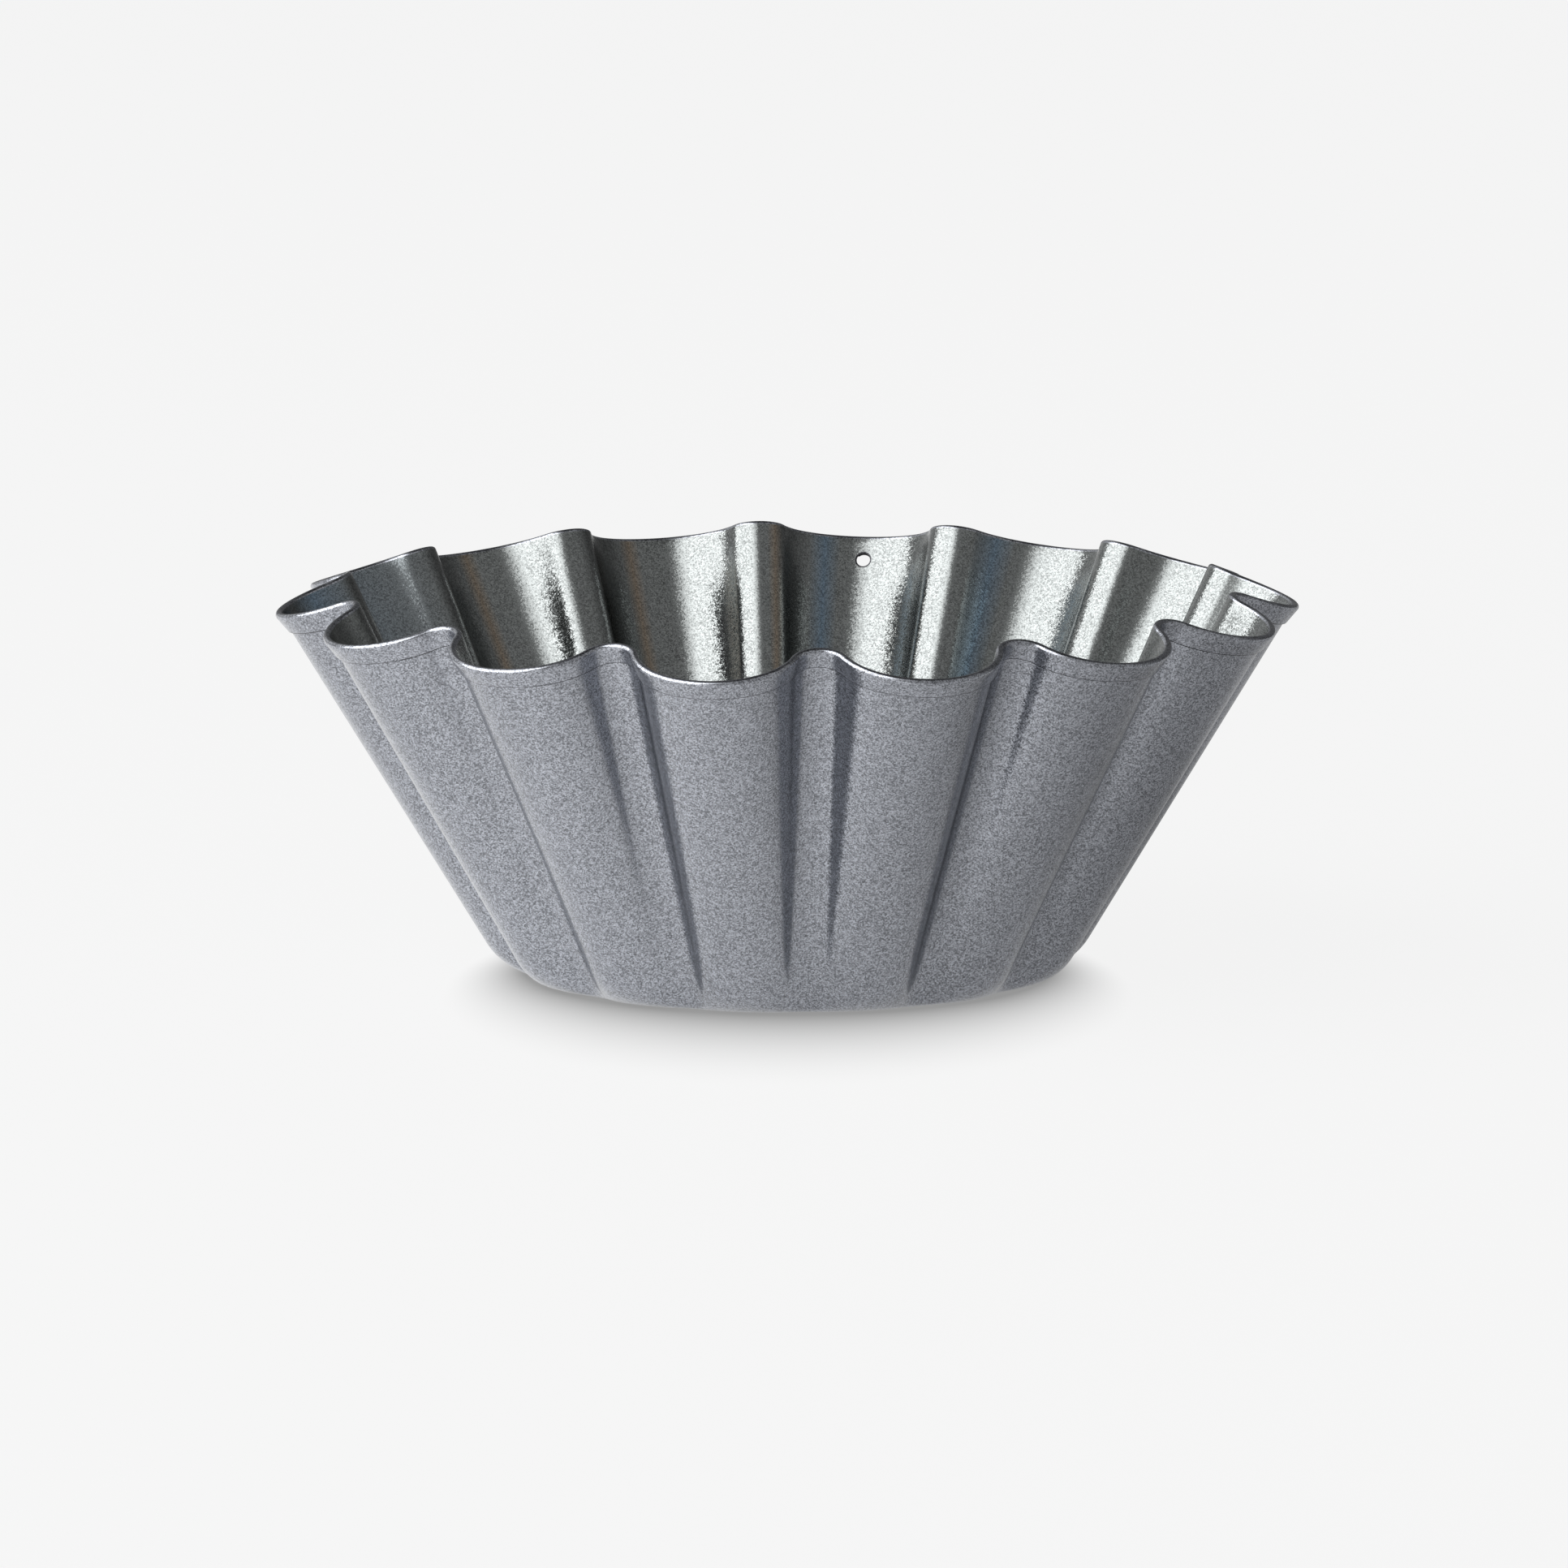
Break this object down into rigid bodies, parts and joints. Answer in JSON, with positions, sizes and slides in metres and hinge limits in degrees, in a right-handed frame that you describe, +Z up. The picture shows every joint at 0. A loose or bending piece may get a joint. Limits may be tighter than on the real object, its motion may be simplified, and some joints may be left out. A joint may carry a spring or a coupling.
{
  "type": "brioche mould",
  "caption": "Round fluted baking tin for brioche: a small flat base flares to a wide scalloped rim with a folded hem, and a small hanging hole lies under the rim.",
  "frame": {"origin": "centre of the underside of the base, on the surface that the tin stands on", "axes": "+Z up along the tin's axis, +Y out through the lobe with the hanging hole"},
  "size_m": [0.2156, 0.22, 0.0844],
  "materials": {
    "coated_steel": "fine-grained grey non-stick coating on steel, satin outside and glossier inside"
  },
  "bodies": {
    "root": {"fluted_shell": "coated_steel"}
  },
  "joints": []
}
